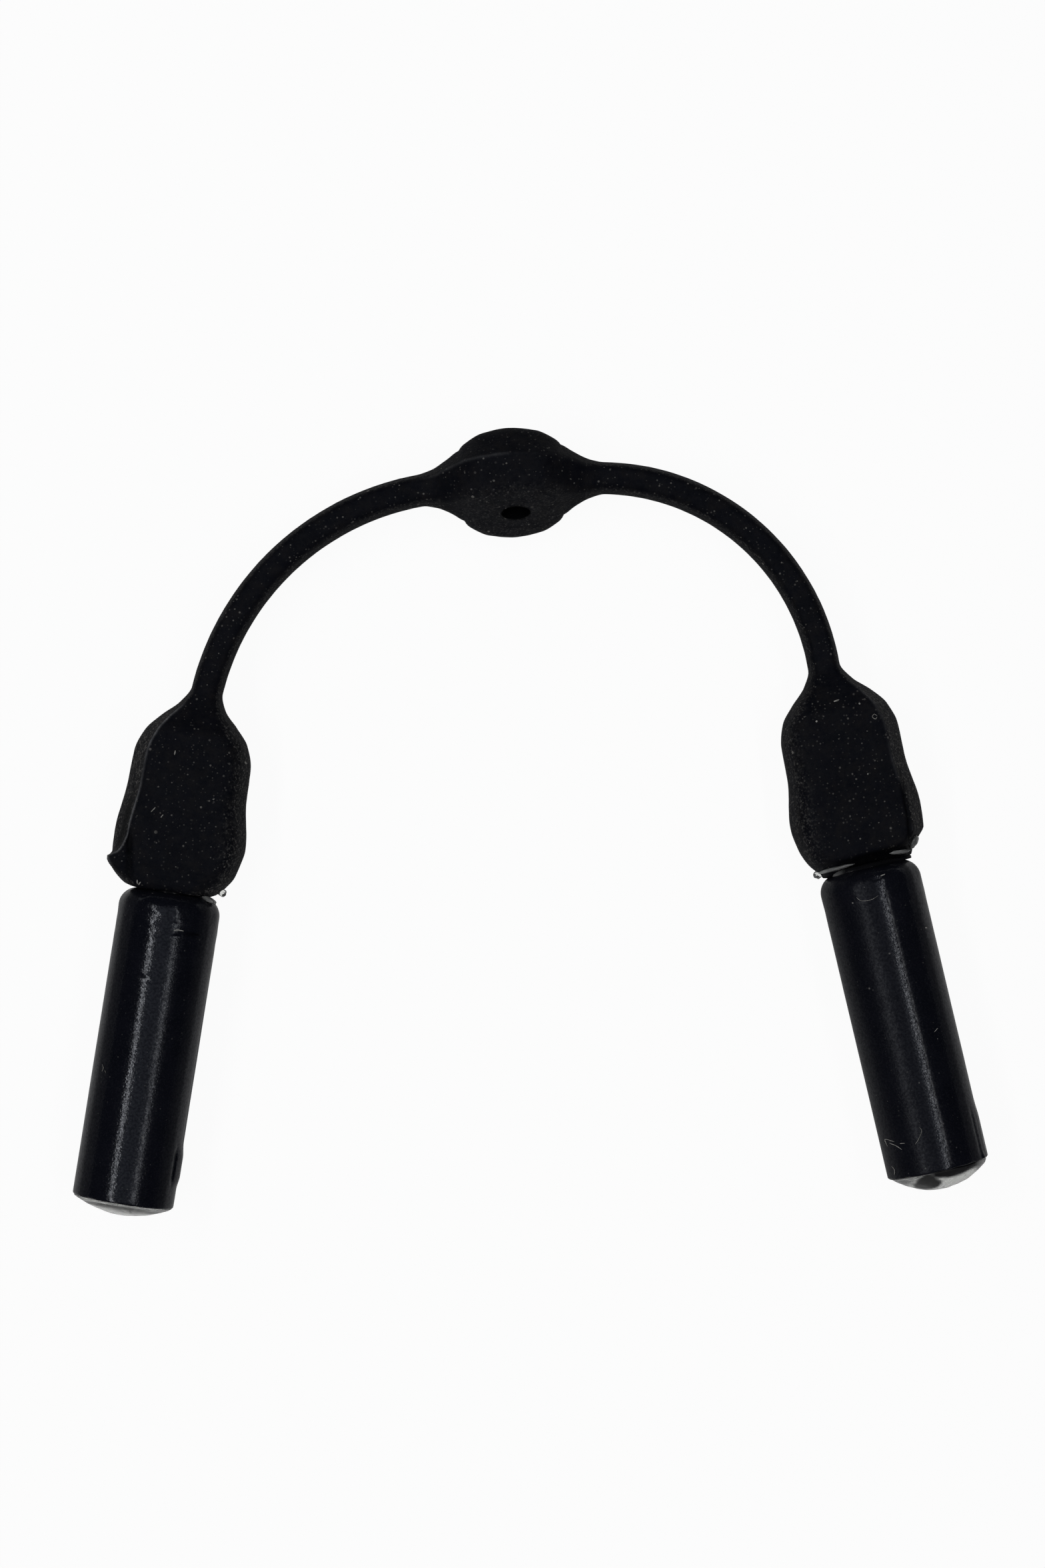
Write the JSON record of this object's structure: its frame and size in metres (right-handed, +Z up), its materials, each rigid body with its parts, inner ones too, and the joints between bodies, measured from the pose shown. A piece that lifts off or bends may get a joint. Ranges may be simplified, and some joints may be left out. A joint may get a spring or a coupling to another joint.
{
  "type": "eyeglass retainer strap",
  "caption": "Short moulded silicone strap bent into a U, with a pierced oval boss in the middle and a paddle at each end bonded to a sleeved and sealed rod.",
  "frame": {"origin": "centre of the centre boss's flat back, which rests on the table", "axes": "+X from the left rod's side to the right rod's side, along the boss's own length; +Y from the U's open end towards the boss; +Z up, away from the table the strap lies on"},
  "size_m": [0.0451, 0.0391, 0.005],
  "materials": {
    "black_silicone": "matte, fine sandy grain, dusty",
    "black_sleeve": "satin, fine orange-peel grain",
    "clear_adhesive": "clear, glossy, greyish",
    "core_steel": "turned"
  },
  "bodies": {
    "bridge": {"centre_boss": "black_silicone"},
    "left_arm": {"left_strap_arm": "black_silicone"},
    "left_end": {"left_paddle": "black_silicone", "left_bond": "clear_adhesive", "left_sleeve": "black_sleeve", "left_core": "core_steel", "left_end_seal": "clear_adhesive"},
    "right_arm": {"right_strap_arm": "black_silicone"},
    "right_end": {"right_paddle": "black_silicone", "right_bond": "clear_adhesive", "right_sleeve": "black_sleeve", "right_core": "core_steel", "right_end_seal": "clear_adhesive"}
  },
  "joints": [
    {"name": "left_arm_flex", "type": "hinge", "parent": "bridge", "child": "left_arm", "pos_m": [-0.00519, -0.00023, 0.0025], "axis": [0, 0, -1], "range_deg": [-12, 45], "stiffness_Nm_per_rad": 0.0002},
    {"name": "left_neck_flex", "type": "hinge", "parent": "left_arm", "child": "left_end", "pos_m": [-0.01545, -0.00891, 0.0025], "axis": [0, 0, -1], "range_deg": [-20, 45], "stiffness_Nm_per_rad": 0.0002},
    {"name": "right_arm_flex", "type": "hinge", "parent": "bridge", "child": "right_arm", "pos_m": [0.00519, -0.00016, 0.0025], "axis": [0, 0, 1], "range_deg": [-12, 45], "stiffness_Nm_per_rad": 0.0002},
    {"name": "right_neck_flex", "type": "hinge", "parent": "right_arm", "child": "right_end", "pos_m": [0.0147, -0.00962, 0.0025], "axis": [0, 0, 1], "range_deg": [-20, 45], "stiffness_Nm_per_rad": 0.0002}
  ]
}
